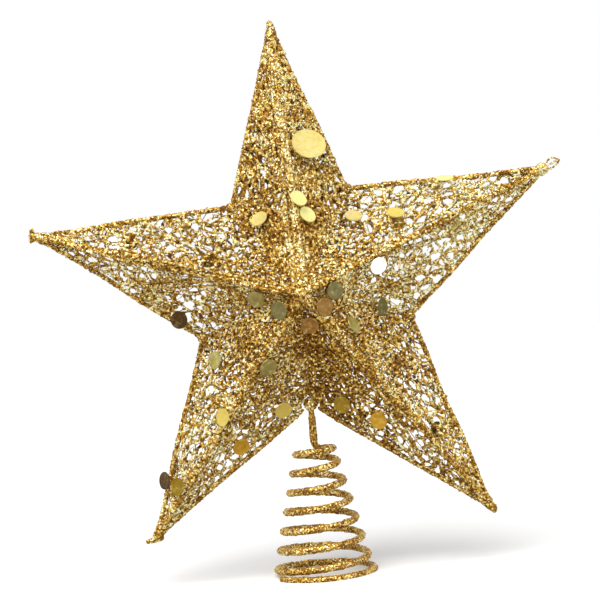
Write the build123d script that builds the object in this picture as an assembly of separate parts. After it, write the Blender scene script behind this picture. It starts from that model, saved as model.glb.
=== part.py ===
from build123d import *
import math
import os
import random

# Star frame: the points lie in the XZ plane, the front faces -Y, the spring stands on Z = 0
STAR_HEIGHT = 112.5     # centre of the star above the foot of the spring
TIP_REACH = 115.0       # centre to the end of an even point
VALLEY_REACH = 44.5     # centre to an even valley between two points
HALF_DEPTH = 26.0       # star plane to the place where the ridge wires meet

# The frame is bent by hand, so each point and valley has its own reach and lean in degrees.
# Points run clockwise from the top, seen from the front, and valley i follows point i.
tip_reach_shares = (0.965, 1.017, 1.024, 1.014, 0.979)
valley_reach_shares = (1.03, 1.0, 0.993, 0.973, 1.002)
tip_leans = (-1.9, -4.6, -1.0, -0.4, -1.0)
valley_leans = (-8.0, -2.0, 0.0, -1.2, 2.2)
TIP_NAMES = ("top", "right", "lower_right", "lower_left", "left")
SIDE_NAMES = (("left", "right"), ("upper", "lower"), ("outer", "inner"), ("inner", "outer"), ("lower", "upper"))
POINTS = len(TIP_NAMES)
STEM_VALLEY = POINTS // 2       # the valley straight below the centre, where the stem comes in

# Wire diameters, each with its coat of glitter
EDGE_WIRE = 2.4
RIDGE_WIRE = 2.2
SPOKE_WIRE = 1.8
SPRING_WIRE = 2.6

# Joins between the wires
CAP_LENGTH = 8.0        # glitter-bound end of a point
CAP_ROOT = 8.6          # its diameters at the wires and at the blunt end
CAP_END = 4.2
CAP_ROUNDING = 1.0
HUB_RADIUS = 5.2        # weld that gathers ten wires at the front and at the back
HUB_RISE = 0.8          # how far it stands past the meeting point of the wires
HUB_SEAT = 4.2          # how far it reaches inwards to take the spokes
HUB_ROUNDING = 1.0
BEAD_RADIUS = 2.6       # weld in a valley
BALL_RADIUS = 4.2       # ball on the stem that the star nods and sways on
JOIN_GAP = 0.05         # between a wire and the weld that it ends in
BALL_GAP = 0.3          # between the ball and what turns round it

# Nets of coated cord, one for each facet
NET_THICKNESS = 0.9
NET_CORD = 1.3          # width of a cord
NET_HEM = 0.8           # width of the cord along the wires
NET_GAP = 0.15          # between a net and the wires round it
NET_LANES = 5           # cords that fan out of the tip, and cords across them
NET_ROWS = 13
LEAST_HOLE = 1.9        # side of the smallest square hole that stays open
LEAST_SIDE = 0.4        # sides shorter than this are joined to the next
wander_share = 0.3      # how far a cord strays from even spacing

# Round sequins, placed by their shares of the way from the apex to the tip and to the valley
SEQUIN = 7.2
LARGE_SEQUIN = 14.0
SEQUIN_THICKNESS = 0.4
SEQUIN_GAP = 0.1
large_sequin_shares = ((0, 1, 0.39, 0.43),)
front_sequin_shares = (
    (0, 1, 0.305, 0.07), (0, 1, 0.195, 0.215), (0, 0, 0.11, 0.49), (1, 0, 0.10, 0.575),
    (1, 0, 0.29, 0.39), (1, 1, 0.235, 0.115), (4, 0, 0.085, 0.205), (3, 1, 0.035, 0.13),
    (1, 1, 0.05, 0.145), (2, 0, 0.045, 0.09), (2, 1, 0.03, 0.19), (1, 1, 0.045, 0.65),
    (2, 0, 0.125, 0.21), (3, 0, 0.235, 0.10), (3, 1, 0.16, 0.60), (3, 1, 0.485, 0.015),
    (3, 0, 0.17, 0.655), (3, 0, 0.435, 0.38), (3, 1, 0.755, 0.085), (3, 1, 0.69, 0.345),
    (2, 1, 0.185, 0.61), (2, 1, 0.38, 0.365), (1, 0, 0.48, 0.48), (4, 0, 0.165, 0.765),
)
back_sequin_shares = (
    (0, 0, 0.50, 0.20), (0, 1, 0.22, 0.30), (0, 0, 0.16, 0.40), (1, 0, 0.34, 0.24),
    (1, 1, 0.55, 0.12), (1, 1, 0.14, 0.44), (2, 0, 0.30, 0.30), (2, 0, 0.62, 0.14),
    (2, 1, 0.18, 0.34), (3, 0, 0.40, 0.26), (3, 1, 0.20, 0.20), (4, 0, 0.38, 0.50),
    (4, 1, 0.30, 0.18), (4, 1, 0.58, 0.20), (4, 0, 0.12, 0.30),
)

# Conical spring, wound to the right from a cut end at the front left
SPRING_RADIUS = 20.6    # to the middle of the wire at the foot
SPRING_TAPER = 1.85     # drop in radius over one turn
SPRING_TURNS = 7.4
FOOT_ANGLE = 215.0      # where the cut end lies
FOOT_FLAT = 0.5         # depth of the flat that the spring stands on
NECK_BEND = 3.5         # radius of the bend that turns the wire up into the stem
STEM_LENGTH = 7.9       # straight wire from the bend's end to the ball
rise_turns = (0.45, 0.85)       # where the pitch sets in
level_turns = (6.8, SPRING_TURNS)   # where it runs out again
STEPS_PER_TURN = 4
GAP_STEPS = 12          # points measured along each arc for the least gap
heading_share = 0.001   # part of a turn that the wire's direction is measured over
GAP_SKIP = 4 * SPRING_WIRE      # path length that counts as the same stretch of wire

LOW = (Align.CENTER, Align.CENTER, Align.MIN)
CENTRE = Vector(0, 0, STAR_HEIGHT)
APEXES = {"front": CENTRE + Vector(0, -HALF_DEPTH, 0), "back": CENTRE + Vector(0, HALF_DEPTH, 0)}


def on_star(degrees, reach):
    """Place in the star plane, at an angle clockwise from straight up."""
    angle = math.radians(degrees)
    return CENTRE + Vector(math.sin(angle), 0, math.cos(angle)) * reach


STEP = 360 / POINTS
TIPS = [on_star(STEP * i + tip_leans[i], TIP_REACH * tip_reach_shares[i]) for i in range(POINTS)]
VALLEYS = [
    on_star(STEP * (i + 1 / 2) + valley_leans[i], VALLEY_REACH * valley_reach_shares[i]) for i in range(POINTS)
]


def join_radius(valley):
    """How far from a valley its wires and nets end."""
    if valley == STEM_VALLEY:
        return BALL_RADIUS + BALL_GAP
    return BEAD_RADIUS + JOIN_GAP


def outward(point):
    """Direction from the star's centre to a place in its plane."""
    return (point - CENTRE).normalized()


def straight_wire(start, end, diameter, *ends):
    """Wire between two places, cut back to the pieces that it ends in."""
    line = end - start
    wire = Plane(start, z_dir=line) * Cylinder(diameter / 2, line.length, align=LOW)
    for piece in ends:
        wire = wire - piece
    return wire


def tip_room(tip):
    """Room that a tip cap takes from the wires."""
    return Plane(TIPS[tip] - outward(TIPS[tip]) * CAP_LENGTH, z_dir=outward(TIPS[tip])) * Cylinder(
        CAP_ROOT, CAP_LENGTH + CAP_ROOT, align=LOW
    )


def hub_room(apex):
    """Room that a hub takes from the wires."""
    return Plane(apex, z_dir=Vector(0, 1, 0)) * Cylinder(HUB_RADIUS + JOIN_GAP, 2 * HALF_DEPTH)


def from_valley(valley, place):
    """Where a wire that runs from a valley to a place starts, clear of the weld or ball there."""
    return VALLEYS[valley] + (place - VALLEYS[valley]).normalized() * join_radius(valley)


def tip_cap(tip):
    """Blunt cone that binds the ends of two edges and two ridges."""
    root = Plane(TIPS[tip] - outward(TIPS[tip]) * CAP_LENGTH, z_dir=outward(TIPS[tip]))
    cap = Cone(CAP_ROOT / 2, CAP_END / 2, CAP_LENGTH, align=LOW)
    return root * fillet(cap.edges().sort_by(Axis.Z)[-1], CAP_ROUNDING)


def hub(apex):
    """Rounded disc where five ridges and five spokes meet."""
    inside = Plane(apex + (CENTRE - apex).normalized() * HUB_SEAT, z_dir=apex - CENTRE)
    disc = Cylinder(HUB_RADIUS, HUB_SEAT + HUB_RISE, align=LOW)
    return inside * fillet(disc.edges().sort_by(Axis.Z)[-1], HUB_ROUNDING)


def clip(outline, normal, offset):
    """Part of a convex outline whose points measure at least offset along normal."""
    kept = []
    for here, there in zip(outline, outline[1:] + outline[:1]):
        depth = normal.dot(here) - offset
        next_depth = normal.dot(there) - offset
        if depth >= 0:
            kept.append(here)
        if depth * next_depth < 0:
            kept.append(here + (there - here) * (depth / (depth - next_depth)))
    return kept


def keep_left(outline, start, end, inset):
    """Part of a convex outline at least inset to the left of a line."""
    along = (end - start).normalized()
    left = Vector(-along.Y, along.X)
    return clip(outline, left, left.dot(start) + inset)


def keep_past(outline, plane, place, direction, reach):
    """Part of an outline in a plane at least reach from a place, along a direction in space."""
    flat = Vector(direction.dot(plane.x_dir), direction.dot(plane.y_dir))
    return clip(outline, flat, flat.dot(plane.to_local_coords(place)) + reach)


def facet_plane(tip, valley, apex):
    """Plane of a facet, from its apex along its ridge."""
    ridge = TIPS[tip] - apex
    return Plane(apex, x_dir=ridge, z_dir=ridge.cross(VALLEYS[valley] - apex))


def along_side(corners, share):
    """Place a share of the way from the apex to the tip by way of the valley."""
    apex, tip, valley = corners
    spoke = (valley - apex).length
    edge = (tip - valley).length
    run = share * (spoke + edge)
    if run < spoke:
        return apex + (valley - apex) * (run / spoke)
    return valley + (tip - valley) * ((run - spoke) / edge)


def open_hole(outline):
    """Outline of a hole without its shortest sides, or None where too little is left."""
    corners = []
    for point in outline:
        if not corners or (point - corners[-1]).length > LEAST_SIDE:
            corners.append(point)
    while len(corners) > 1 and (corners[0] - corners[-1]).length < LEAST_SIDE:
        corners.pop()
    if len(corners) < 3:
        return None
    area = sum(a.X * b.Y - a.Y * b.X for a, b in zip(corners, corners[1:] + corners[:1])) / 2
    return corners if area > LEAST_HOLE**2 else None


def net(tip, valley, apex, seed):
    """Flat net of one facet, with the holes that its fanned and crossing cords leave."""
    plane = facet_plane(tip, valley, apex)
    corners = [plane.to_local_coords(place) for place in (apex, TIPS[tip], VALLEYS[valley])]
    outline = list(corners)
    for side, wire in enumerate((RIDGE_WIRE, EDGE_WIRE, SPOKE_WIRE)):
        outline = keep_left(outline, corners[side], corners[(side + 1) % 3], wire / 2 + NET_GAP)
    middle = (outward(TIPS[tip]) + outward(VALLEYS[valley])).normalized()
    sides = [(place - VALLEYS[valley]).normalized() for place in (apex, TIPS[tip])]
    inwards = sum(sides, Vector()).normalized()
    outline = keep_past(outline, plane, apex, middle, HUB_RADIUS + NET_THICKNESS / 2 + NET_GAP)
    outline = keep_past(outline, plane, TIPS[tip], -outward(TIPS[tip]), CAP_LENGTH + NET_GAP)
    outline = keep_past(outline, plane, VALLEYS[valley], inwards, join_radius(valley) + NET_GAP)

    room = outline
    for start, end in zip(outline, outline[1:] + outline[:1]):
        room = keep_left(room, start, end, NET_HEM)

    draw = random.Random(seed)

    def stray(count, index):
        """Share of the way to cord number index, a little off its even place."""
        return (index + draw.uniform(-wander_share, wander_share)) / count

    start, tip_corner, valley_corner = corners
    fans = [start + (valley_corner - start) * stray(NET_LANES, i) for i in range(1, NET_LANES)]
    rows = [
        (start + (tip_corner - start) * stray(NET_ROWS, i), along_side(corners, stray(NET_ROWS, i)))
        for i in range(1, NET_ROWS)
    ]
    holes = []
    for lane in range(NET_LANES):
        strip = room
        if lane > 0:
            strip = keep_left(strip, fans[lane - 1], tip_corner, NET_CORD / 2)
        if lane < NET_LANES - 1:
            strip = keep_left(strip, tip_corner, fans[lane], NET_CORD / 2)
        for row in range(NET_ROWS):
            hole = strip
            if row > 0:
                hole = keep_left(hole, rows[row - 1][1], rows[row - 1][0], NET_CORD / 2)
            if row < NET_ROWS - 1:
                hole = keep_left(hole, rows[row][0], rows[row][1], NET_CORD / 2)
            holes.append(open_hole(hole))
    holed = Face(
        Wire.make_polygon(outline), [Wire.make_polygon(hole) for hole in holes if hole]
    )
    sheet = Solid.extrude(holed, Vector(0, 0, NET_THICKNESS))
    return plane * Pos(0, 0, -NET_THICKNESS / 2) * sheet


def facing(tip, valley, apex):
    """Direction that a facet faces, away from the star's middle."""
    normal = facet_plane(tip, valley, apex).z_dir
    return normal if normal.dot(apex - CENTRE) > 0 else -normal


def sequin(tip, side, tip_share, valley_share, apex, diameter):
    """Round sequin glued on a facet, over a wire that it reaches across, or over the fold at a spoke."""
    valley = (tip - 1 + side) % POINTS
    place = apex + (TIPS[tip] - apex) * tip_share + (VALLEYS[valley] - apex) * valley_share

    def reaches(start, end, wire):
        line = (end - start).normalized()
        return line.cross(place - start).length < (diameter + wire) / 2 + SEQUIN_GAP

    skin = NET_THICKNESS / 2
    for start, end, wire in ((apex, TIPS[tip], RIDGE_WIRE), (TIPS[tip], VALLEYS[valley], EDGE_WIRE)):
        if reaches(start, end, wire):
            skin = max(skin, wire / 2)
    faces = [facing(tip, valley, apex)]
    if reaches(apex, VALLEYS[valley], SPOKE_WIRE):
        faces.append(facing((tip + 2 * side - 1) % POINTS, valley, apex))
    up = sum(faces, Vector(0, 0, 0)).normalized()
    seats = []
    for face in faces:
        level = up.dot(face)
        tilt = math.sqrt(max(1 - level**2, 0))
        seats.append((skin + SEQUIN_GAP + diameter / 2 * tilt - (place - apex).dot(face)) / level)
    foot = Plane(place + up * max(seats), z_dir=up)
    return foot * Cylinder(diameter / 2, SEQUIN_THICKNESS, align=LOW)


def eased(turn, first, last):
    """Turns gained by a rate that grows from 0 to 1 between two turns."""
    if turn <= first:
        return 0
    if turn >= last:
        return turn - (first + last) / 2
    return (turn - first) ** 2 / (last - first) / 2


def risen(turn):
    """Turns that count towards the rise, eased in above the flat foot and out again at the neck."""
    return eased(turn, *rise_turns) - eased(turn, *level_turns)


FOOT_HEIGHT = SPRING_WIRE / 2 - FOOT_FLAT
STEM_FOOT = VALLEYS[STEM_VALLEY].Z - join_radius(STEM_VALLEY) - STEM_LENGTH
NECK_HEIGHT = STEM_FOOT - SPRING_WIRE - NECK_BEND
SPRING_PITCH = (NECK_HEIGHT - FOOT_HEIGHT) / risen(SPRING_TURNS)


def spring_point(turn):
    """Middle of the spring's wire after a number of turns."""
    radius = SPRING_RADIUS - SPRING_TAPER * (turn - eased(turn, *level_turns))
    angle = math.radians(FOOT_ANGLE) + 2 * math.pi * turn
    height = FOOT_HEIGHT + SPRING_PITCH * risen(turn)
    return Vector(radius * math.cos(angle), radius * math.sin(angle), height)


def spring_heading(turn):
    """Direction of the spring's wire after a number of turns."""
    behind = max(turn - heading_share, 0)
    ahead = min(turn + heading_share, SPRING_TURNS)
    return (spring_point(ahead) - spring_point(behind)).normalized()


def biarc(start, heading, end, end_heading):
    """Two arcs that leave start and reach end along the given headings."""
    chord = end - start
    both = heading + end_heading
    bend = 2 * (1 - heading.dot(end_heading))
    reach = chord.dot(both)
    arm = (math.sqrt(reach**2 + bend * chord.dot(chord)) - reach) / bend
    first = start + heading * arm
    last = end - end_heading * arm
    meeting = (first + last) / 2
    return [
        Edge.make_tangent_arc(start, heading, meeting),
        Edge.make_tangent_arc(meeting, last - first, end),
    ]


def spring_path():
    """Turns of the spring, then a curl to the axis and a bend up into the stem."""
    steps = math.ceil(SPRING_TURNS * STEPS_PER_TURN)
    turns = [SPRING_TURNS * i / steps for i in range(steps + 1)]
    headings = [spring_heading(turn) for turn in turns]
    last = spring_point(SPRING_TURNS)
    neck = math.hypot(last.X, last.Y)
    headings[-1] = Vector(-last.Y / neck, last.X / neck, 0)
    edges = []
    for i in range(steps):
        edges += biarc(
            spring_point(turns[i]), headings[i], spring_point(turns[i + 1]), headings[i + 1]
        )
    curl = (neck**2 - NECK_BEND**2) / (2 * neck)
    turned = math.pi - math.atan(NECK_BEND / curl)
    bearing = math.atan2(headings[-1].Y, headings[-1].X) + turned
    inwards = Vector(math.cos(bearing), math.sin(bearing), 0)
    top = Vector(0, 0, last.Z + NECK_BEND)
    curl_end = Vector(0, 0, last.Z) - inwards * NECK_BEND
    edges.append(Edge.make_tangent_arc(last, headings[-1], curl_end))
    edges.append(Edge.make_tangent_arc(curl_end, inwards, top))
    edges.append(Edge.make_line(top, top + Vector(0, 0, SPRING_WIRE)))
    return edges


def least_gap(edges):
    """Least distance between two stretches of the spring's wire, measured on points."""
    marks = []
    run = 0
    for edge in edges:
        for i in range(GAP_STEPS):
            marks.append((run + edge.length * i / GAP_STEPS, edge @ (i / GAP_STEPS)))
        run += edge.length
    return min(
        (place - other).length - SPRING_WIRE
        for index, (far, place) in enumerate(marks)
        for near, other in marks[:index]
        if far - near > GAP_SKIP
    )


def conical_spring():
    """One unbroken wire, cut flat where it stands."""
    edges = spring_path()
    section = Plane(edges[0] @ 0, z_dir=edges[0] % 0) * Circle(SPRING_WIRE / 2)
    wire = sweep(section, path=Wire(edges))
    print(f"spring: least gap {least_gap(edges):.2f} mm, wire {sum(e.length for e in edges):.0f} mm")
    return split(wire, bisect_by=Plane.XY, keep=Keep.TOP), edges[-1] @ 1


nodes = {}
for i, name in enumerate(TIP_NAMES):
    nodes[f"{name}_tip_cap"] = tip_cap(i)
    for side, side_name in enumerate(SIDE_NAMES[i]):
        valley = (i - 1 + side) % POINTS
        nodes[f"{name}_point_{side_name}_edge"] = straight_wire(
            from_valley(valley, TIPS[i]), TIPS[i], EDGE_WIRE, tip_room(i)
        )
        for face, apex in APEXES.items():
            seed = f"{face} {name} {side_name}"
            nodes[f"{face}_{name}_{side_name}_net"] = net(i, valley, apex, seed)
    for face, apex in APEXES.items():
        nodes[f"{face}_{name}_ridge"] = straight_wire(
            apex, TIPS[i], RIDGE_WIRE, hub_room(apex), tip_room(i)
        )
for face, apex in APEXES.items():
    nodes[f"{face}_hub"] = hub(apex)
    nodes[f"{face}_valley_spokes"] = [
        straight_wire(from_valley(i, apex), apex, SPOKE_WIRE, hub_room(apex)) for i in range(POINTS)
    ]
nodes["valley_welds"] = [Pos(VALLEYS[i]) * Sphere(BEAD_RADIUS) for i in range(POINTS) if i != STEM_VALLEY]
nodes["stem_ball"] = Pos(VALLEYS[STEM_VALLEY]) * Sphere(BALL_RADIUS)
nodes["large_sequin"] = [sequin(*row, APEXES["front"], LARGE_SEQUIN) for row in large_sequin_shares]
nodes["front_sequins"] = [sequin(*row, APEXES["front"], SEQUIN) for row in front_sequin_shares]
nodes["back_sequins"] = [sequin(*row, APEXES["back"], SEQUIN) for row in back_sequin_shares]
nodes["conical_spring"], spring_end = conical_spring()
nodes["stem"] = straight_wire(spring_end, from_valley(STEM_VALLEY, spring_end), SPRING_WIRE)

os.makedirs("parts", exist_ok=True)
for name, shape in nodes.items():
    solids = [solid for piece in (shape if isinstance(shape, list) else [shape]) for solid in piece.solids()]
    export_step(Compound(solids), f"parts/{name}.step")
print(f"{len(nodes)} nodes")
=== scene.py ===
"""Gold glittered star for the top of a tree, on a conical wire spring, dressed around its CAD frame."""
import math
import random
from collections import namedtuple

import bpy
import numpy as np
from bpy.props import FloatProperty, FloatVectorProperty, PointerProperty
from mathutils import Matrix, Vector, noise
from mathutils.geometry import delaunay_2d_cdt


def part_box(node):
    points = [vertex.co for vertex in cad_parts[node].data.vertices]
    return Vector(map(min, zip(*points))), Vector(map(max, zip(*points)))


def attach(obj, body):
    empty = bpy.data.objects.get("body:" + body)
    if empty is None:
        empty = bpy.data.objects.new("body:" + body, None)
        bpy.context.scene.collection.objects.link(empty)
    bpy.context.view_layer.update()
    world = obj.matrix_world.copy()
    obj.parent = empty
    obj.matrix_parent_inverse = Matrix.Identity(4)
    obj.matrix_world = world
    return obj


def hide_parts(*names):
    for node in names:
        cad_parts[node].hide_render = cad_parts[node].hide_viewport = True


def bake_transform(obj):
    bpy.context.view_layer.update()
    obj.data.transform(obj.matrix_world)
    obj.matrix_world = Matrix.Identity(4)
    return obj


bl_info = {
    "name": "Glittered star topper",
    "version": (1, 0, 0),
    "blender": (4, 5, 0),
    "location": "View3D > Sidebar > Star",
    "description": "Dresses the wire star and its spring in glitter, net and sequins",
    "category": "Add Mesh",
}

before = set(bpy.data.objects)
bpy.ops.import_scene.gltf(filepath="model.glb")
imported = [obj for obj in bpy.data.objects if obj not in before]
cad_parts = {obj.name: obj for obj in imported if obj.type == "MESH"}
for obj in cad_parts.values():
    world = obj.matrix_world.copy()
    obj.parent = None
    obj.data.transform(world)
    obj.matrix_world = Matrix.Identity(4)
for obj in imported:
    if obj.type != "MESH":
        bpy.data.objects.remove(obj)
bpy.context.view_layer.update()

# Star frame, as in the CAD source: points run clockwise from the top, and valley i follows point i
STAR_HEIGHT = 0.1125
TIP_REACH = 0.115
VALLEY_REACH = 0.0445
HALF_DEPTH = 0.026
tip_reach_shares = (0.965, 1.017, 1.024, 1.014, 0.979)
valley_reach_shares = (1.03, 1.0, 0.993, 0.973, 1.002)
tip_leans = (-1.9, -4.6, -1.0, -0.4, -1.0)
valley_leans = (-8.0, -2.0, 0.0, -1.2, 2.2)
TIP_NAMES = ("top", "right", "lower_right", "lower_left", "left")
SIDE_NAMES = (
    ("left", "right"), ("upper", "lower"), ("outer", "inner"), ("inner", "outer"), ("lower", "upper"),
)
POINTS = len(TIP_NAMES)
STEM_VALLEY = POINTS // 2
EDGE_WIRE = 0.0024
RIDGE_WIRE = 0.0022
SPOKE_WIRE = 0.0018
SPRING_WIRE = 0.0026
CAP_LENGTH = 0.008
NET_THICKNESS = 0.0009
SEQUIN_GAP = 0.0001
COAT = 0.0003           # that the glitter adds to a wire's radius

# Strands in general: places along them, and the waves that they stray by
STRAND_STEP = 0.005
EDGE_STEP = 0.003
CAP_STEP = 0.001
WAVES = (1, 4)
WIRE_STRAY = 0.0004
BARE_BELOW = 1.5        # times a fibre's radius, below which a strand has no coat

# Hubs at the two apexes, and welds in the valleys
HUB_ARM = 0.007
HUB_ARM_RADIUS = 0.0016
HUB_DEPTH = 0.003
HUB_RADIUS = 0.0022
WELD_REACH = 0.0015
WELD_STRAY = 0.0008
WELD_RADIUS = 0.0018

# Ridges: a wire, and cords wound along it
RIDGE_STRAY = 0.0003
RIDGE_CORDS = (9, 4, 4, 4, 4)               # how many on each point
RIDGE_SPREADS = (0.003, 0.0018, 0.0018, 0.0018, 0.0018)     # and how far to the sides they lie
RIDGE_CORD_STRAY = 0.0012
drawn_in_share = 0.3    # of that distance which is left at the tip

# Spring
SPRING_RADIUS = 0.0206
SPRING_TAPER = 0.00185
SPRING_TURNS = 7.4
FOOT_ANGLE = 215.0
FOOT_FLAT = 0.0005
NECK_BEND = 0.0035
rise_turns = (0.45, 0.85)
level_turns = (6.8, SPRING_TURNS)
STEPS_PER_TURN = 40
stem_shares = (0, 0.5, 0.8, 1)              # places up the stem
stem_girth_shares = (1, 1, 0.8, 0.7)        # and its girth there
SPRING_LUMPS = 0.3
SPRING_FINENESS = 0.65  # size of its grains over those of the star
SPRING_SPREAD = 0.95    # and of their swing from dark to pale

# Nets: webs of cord on the facets, with close cells at the star's centre and open ones in the points
CLOSE_CELL = 0.0014     # width of a cell at the centre
CELL_STRETCH = 1.25     # length of a cell along its point over its width
POINT_CELLS = (1.9, 2.5, 2.1, 1.9, 2.1)     # width of the cells in each point over those at the centre
BACK_CELLS = 1.3        # width of the cells at the back over those at the front
CORES = (0.02, 0.022, 0.034, 0.032, 0.016)  # reach of the close cells from the centre towards each point
OPENING = 0.04          # length over which the cells open beyond them
KNOT_CORE = 0.007       # reach of the close cells from the valley with the stem
KNOT_OPENING = 0.02     # length over which the cells open beyond them
CLOSED_FROM = (0.05, 0.085, 0.085, 0.085, 0.085)    # reach from the centre where the cells close again
CLOSING = 0.03          # length over which they close
closed_share = 0.6      # of a cell's width that closing takes
RIDGE_SIDE = 0.004      # width beside a ridge where the cells are narrower
ridge_cell_share = 0.72  # of a cell's width that is left on the ridge
UNEVEN = 1.2            # how far the width of the cells swings from patch to patch
PATCH = 0.007           # size of such a patch
RIPPLE = 0.0009         # how far a net stands off its facet
RIPPLES = 160           # and how closely it does so, to the metre
SCATTER_TRIES = 6000
SAME_PLACE = 1e-7

# Cords of a net, and the long cords and fibres strung from a ridge to an edge
missing_share = 0.08    # of the cords between cells
BOW = 0.22              # most that a cord bows, over its length
CORD_GIRTHS = (0.75, 1.3)
POINT_CORDS = (1.4, 1, 1, 1, 1)             # girth of the cords in each point over the usual girth
cord_shares = (0, 0.2, 0.5, 0.8, 1)         # places along a cord
cord_swells = (1.5, 1.08, 0.92, 1.08, 1.5)  # and its girth there, gathered at the ends
Strung = namedtuple("Strung", "count first slant stray step lift girths")
STRUNG_CORDS = Strung(6, 0.1, 0.4, stray=0.0015, step=0.005, lift=0.0006, girths=(0.8, 1.2))
STRUNG_FIBRES = Strung(5, 0.05, 0.5, stray=0.003, step=0.004, lift=0.0004, girths=(0.7, 1.2))
last_strung_share = 0.9
edge_shares = (0.02, 0.98)

# Paleness of the glitter: of each point's two nets, which is painted light and shade set net by net; the
# painted shade added to it at the centre; and of the wires
NET_PAINTED_LIGHT = ((0.04, 0.09), (0.24, 0.25), (0.1, 0.02), (0.16, 0.17), (0.12, 0.13))
CORE_PAINTED_SHADE = ((-0.16, -0.18), (-0.28, -0.2), (-0.2, -0.38), (-0.4, -0.28), (-0.16, -0.2))
CORE_REACH = 0.07       # from the centre, within which it is added
WIRE_PALENESS = -0.05
TOP_RIDGE_PALENESS = 0.12
LOOP_PALENESS = 0.15
SPRING_PALENESS = -0.06
STEM_PALENESS = -0.1

# Ends of the points: a bar of gathered wire across some, and loops of thin wire beyond one
TIP_BARS = {"left": (0.0002, 0, 0.0022), "lower_left": (0.0028, 0, 0.0004)}
TIP_LOOPS = {"right": ((-0.0006, -0.001, 0.0022), (0.0004, 0.0008, -0.0014), (0.001, -0.0002, 0.0007))}
gathered_share = 0.4    # of a cap's length, from the tip to where the strands are gathered
looped_share = 0.88     # and where loops stand beyond
CAP_SHORT = 0.0016      # from a cap's last place to the tip
CAP_RADIUS = 0.0025
CAP_NARROWING = 0.0013
BAR_STRAY = 0.0003
BAR_RADIUS = 0.0009
LOOP_RADIUS = 0.0004
LOOP_STEPS = 8
LOOP_FINENESS = 0.7

# Knot on the stem, and the room that the star's wires and cords leave round it
KNOT_RADIUS = 0.0021
KNOT_WIRE = 0.0008
KNOT_TURNS = 7
KNOT_STEPS = 16         # round each turn
KNOT_ROOM = 0.004       # for wires
NET_ROOM = 0.0047       # for cords
ROOM_STEPS = 4          # in which a cord's places are bent round it
thinned_share = 0.7     # of a wire's girth where it starts beside the knot
THINNED = 0.004         # length over which it grows to its full girth

# Glitter colours are looked up on a square map of cells, one cell for each grain
GRAIN_MAP = "OFBake"    # name of the cell map that the glitter materials read
CELLS = 24
cell_share = 0.3        # of a cell that a grain's corners reach from its middle

# Glitter: lumps and blotches of the coat, loose chips, and the grains' colour and gloss
LUMP_SCALE = 420.0
COAT_LUMPS = 0.7
WIRE_LUMPS = 0.5
CAP_LUMPS = 0.6
SKIN_THRESHOLD = 0.03
BLOTCH_SCALE = 120.0
BLOTCH_DEPTH = 0.6
CHIP_TILT = 0.62
chip_thickness_share = 0.14
chip_shares = (0.6, 1.15)                   # least and greatest width of a chip
GRAIN_STOPS = (0.0, 0.18, 0.45, 0.72, 0.88)     # paleness where each colour begins, from deep to spark
OLIVE_CAST = (0.9, 1.0, 0.88, 1.0)
COPPER_CAST = (1.0, 0.86, 0.7, 1.0)
GRAIN_ROUGHNESS = 0.22
ROUGHNESS_SWING = 0.3
BARE_FROM = 0.55        # paleness from which a grain is bare metal
LEAST_METAL = 0.15
STAR_SHINE = 0.5        # how metallic bare grains are
SPRING_SHINE = 0.85
STAR_GLINT = (1.0, 0.72, 0.3, 1.0)
SPRING_GLINT = (1.0, 0.9, 0.6, 1.0)

# Foil: scuffs, wear, a painted reflection of the net that it mirrors, and specks
SCUFF_SCALE = 260.0
WEAR_SCALE = 120.0
MIRRORED_SCALE = 520.0
SPECK_SCALE = 2000.0
WEAR_CAST = (0.8, 0.77, 0.5, 1)
MIRRORED_CAST = (0.66, 0.6, 0.44, 1)
CORDS_FROM, CORDS_RATE = 0.46, 16           # where the painted reflection's cords begin, and how fast they darken
HOLES_BELOW, HOLES_RATE = 0.44, 12          # and its holes, and how fast they lighten
SPECKS_FROM = 0.88
SPECK_STRENGTH = 0.18
FOIL_ROUGHNESS = 0.26
SCUFF_SWING = 0.2
FOIL_METAL = 0.35
FOIL_GLINT = (1.0, 0.86, 0.5, 1.0)
PAINTED_HIGHLIGHTS = {"white": 0.4, "pale": 0.08}        # of the sequins that mirror a lamp: emission that paints their highlight

# Camera, lamps, surroundings and floor
CAMERA_ROLL = 4.85      # degrees
CAMERA_LEFT = 0.00056   # of the star's centre
CAMERA_DOWN = 0.00241
CAMERA_AWAY = 0.65
LENS = 97
LAMPS = (("key", 2.6, 50, (0.35, 0.7, -1.3)), ("fill", 0.5, 90, (-0.7, 0.6, -0.4)))
SURROUNDINGS = 0.36     # light from the white surroundings, which show as 1
FLOOR_RADIUS = 3.0
FLOOR_SIDES = 96
FLOOR_LIT = (0.28, 0.28, 0.28, 1)           # as the object sees the floor
FLOOR_SEEN = (0.9, 0.9, 0.9, 1)             # and as the camera does
FLOOR_GLOW = (0.14, 0.14, 0.14, 1)
FLOOR_ROUGHNESS = 0.9
WHITE = (1, 1, 1, 1)
BLACK = (0, 0, 0, 1)

CENTRE = Vector((0, 0, STAR_HEIGHT))
APEXES = {"front": CENTRE - Vector((0, HALF_DEPTH, 0)), "back": CENTRE + Vector((0, HALF_DEPTH, 0))}
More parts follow.
